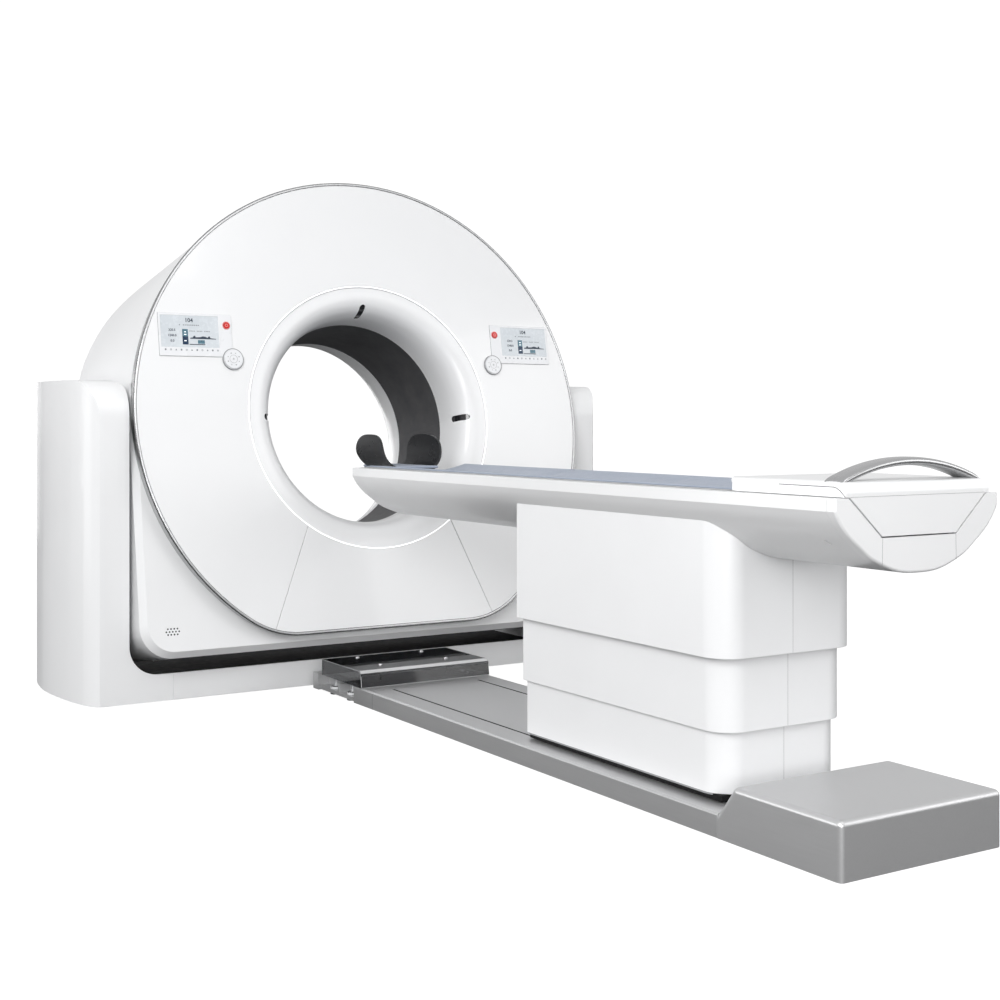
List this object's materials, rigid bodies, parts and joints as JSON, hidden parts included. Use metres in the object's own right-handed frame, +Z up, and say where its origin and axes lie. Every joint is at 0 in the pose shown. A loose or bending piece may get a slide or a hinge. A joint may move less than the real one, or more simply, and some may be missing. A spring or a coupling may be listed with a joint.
{
  "type": "ct scanner",
  "caption": "Wide-bore CT scanner: a tilting ring gantry on a two-column stand, and a couch that rides a floor rail, lifts on telescopic covers and slides its cradle through the bore.",
  "frame": {"origin": "on the floor plane, under the tilt axis, midway between the two columns; it is the centre of the four floor anchor holes", "axes": "+Z up, +Y from the couch through the bore to the back of the gantry, X along the tilt axis; the couch lies towards -Y"},
  "size_m": [2.3444, 3.7627, 1.9962],
  "materials": {
    "panel": "smooth satin white",
    "plastic_white": "satin moulded",
    "steel": "powder coat",
    "machined": "machined",
    "casting": "as cast, painted",
    "trim": "polished",
    "silver": "satin anodised",
    "dark": "satin",
    "window": "polished",
    "glow": "translucent white",
    "black": "matt",
    "bezel": "satin",
    "screen": "backlit",
    "red": "smooth",
    "smoke": "tinted",
    "belt": "toothed",
    "pad": "vinyl",
    "carbon": "woven composite, lacquered",
    "aluminium": "machined"
  },
  "bodies": {
    "stand": {"base_frame": "steel", "left_column_cover": "panel", "right_column_cover": "panel", "base_covers": "panel", "trunnion_bearings": "machined", "tilt_drive": "casting", "rail_frame": "silver", "rail_covers": "silver", "linear_rails": "machined", "rail_end_box": "silver", "rail_drive_unit": "casting", "levelling_feet": "machined", "smoked_cover": "smoke", "cover_screws": "machined"},
    "gantry": {"gantry_frame": "steel", "trunnion_shafts": "machined", "main_bearing_outer": "machined", "bore_liner": "dark", "front_flare": "plastic_white", "laser_windows": "window", "light_ring": "glow", "rear_flare": "plastic_white", "front_disc_cover": "plastic_white", "front_service_panel": "plastic_white", "trim_ring": "trim", "drum_cover": "plastic_white", "lower_housing": "plastic_white", "bottom_tray": "black", "rear_cover": "plastic_white", "display_bezels": "bezel", "display_screens": "screen", "drive_motor": "casting", "rotor_belt": "belt"},
    "rotor": {"rotor_plate": "aluminium", "main_bearing_inner": "machined", "xray_tube": "aluminium", "collimator": "machined", "hv_generator": "steel", "detector_array": "dark", "slip_ring": "dark"},
    "pulley": {"drive_pulley": "aluminium"},
    "left_stop": {"left_stop_button": "red"},
    "right_stop": {"right_stop_button": "red"},
    "left_keys": {"left_keypad": "bezel"},
    "right_keys": {"right_keypad": "bezel"},
    "carriage": {"guide_blocks": "machined", "carriage_frame": "black", "lower_cover": "panel"},
    "mid_stage": {"middle_cover": "panel", "middle_column": "aluminium"},
    "table_top": {"table_shell": "plastic_white", "table_tail_cap": "plastic_white", "upper_cover": "panel", "upper_column": "aluminium"},
    "cradle_body": {"cradle": "carbon", "table_pad": "pad", "cradle_end_cover": "plastic_white", "grab_handle": "silver", "head_holder": "carbon", "head_cushion": "pad"}
  },
  "joints": [
    {"name": "gantry_tilt", "type": "hinge", "parent": "stand", "child": "gantry", "pos_m": [0, 0, 0.9886], "axis": [-1, 0, 0], "range_deg": [-39.43, 20.57]},
    {"name": "rotor_spin", "type": "hinge", "parent": "gantry", "child": "rotor", "pos_m": [0, 0, 0.9886], "axis": [0, 0.9865, -0.1638], "continuous": true},
    {"name": "pulley_spin", "type": "hinge", "parent": "gantry", "child": "pulley", "pos_m": [0.838, -0.00319, 0.23697], "axis": [0, 0.9865, -0.1638], "continuous": true},
    {"name": "left_stop_press", "type": "slide", "parent": "gantry", "child": "left_stop", "axis": [0, 0.9865, -0.1638], "range_m": [0, 0.003], "stiffness_N_per_m": 1500, "springref_m": -0.001},
    {"name": "right_stop_press", "type": "slide", "parent": "gantry", "child": "right_stop", "axis": [0, 0.9865, -0.1638], "range_m": [0, 0.003], "stiffness_N_per_m": 1500, "springref_m": -0.001},
    {"name": "left_keys_press", "type": "slide", "parent": "gantry", "child": "left_keys", "axis": [0, 0.9865, -0.1638], "range_m": [0, 0.003], "stiffness_N_per_m": 1500, "springref_m": -0.001},
    {"name": "right_keys_press", "type": "slide", "parent": "gantry", "child": "right_keys", "axis": [0, 0.9865, -0.1638], "range_m": [0, 0.003], "stiffness_N_per_m": 1500, "springref_m": -0.001},
    {"name": "carriage_travel", "type": "slide", "parent": "stand", "child": "carriage", "axis": [0, 1, 0], "range_m": [0, 0.89]},
    {"name": "table_lift", "type": "slide", "parent": "carriage", "child": "table_top", "axis": [0, 0, 1], "range_m": [-0.24, 0.15]},
    {"name": "mid_lift", "type": "slide", "parent": "carriage", "child": "mid_stage", "axis": [0, 0, 1], "range_m": [-0.12, 0.075]},
    {"name": "cradle_slide", "type": "slide", "parent": "table_top", "child": "cradle_body", "axis": [0, 1, 0], "range_m": [0, 1.15]}
  ],
  "couplings": [
    {"joint": "pulley_spin", "follows": "rotor_spin", "ratio": 13.75},
    {"joint": "mid_lift", "follows": "table_lift", "ratio": 0.5}
  ]
}
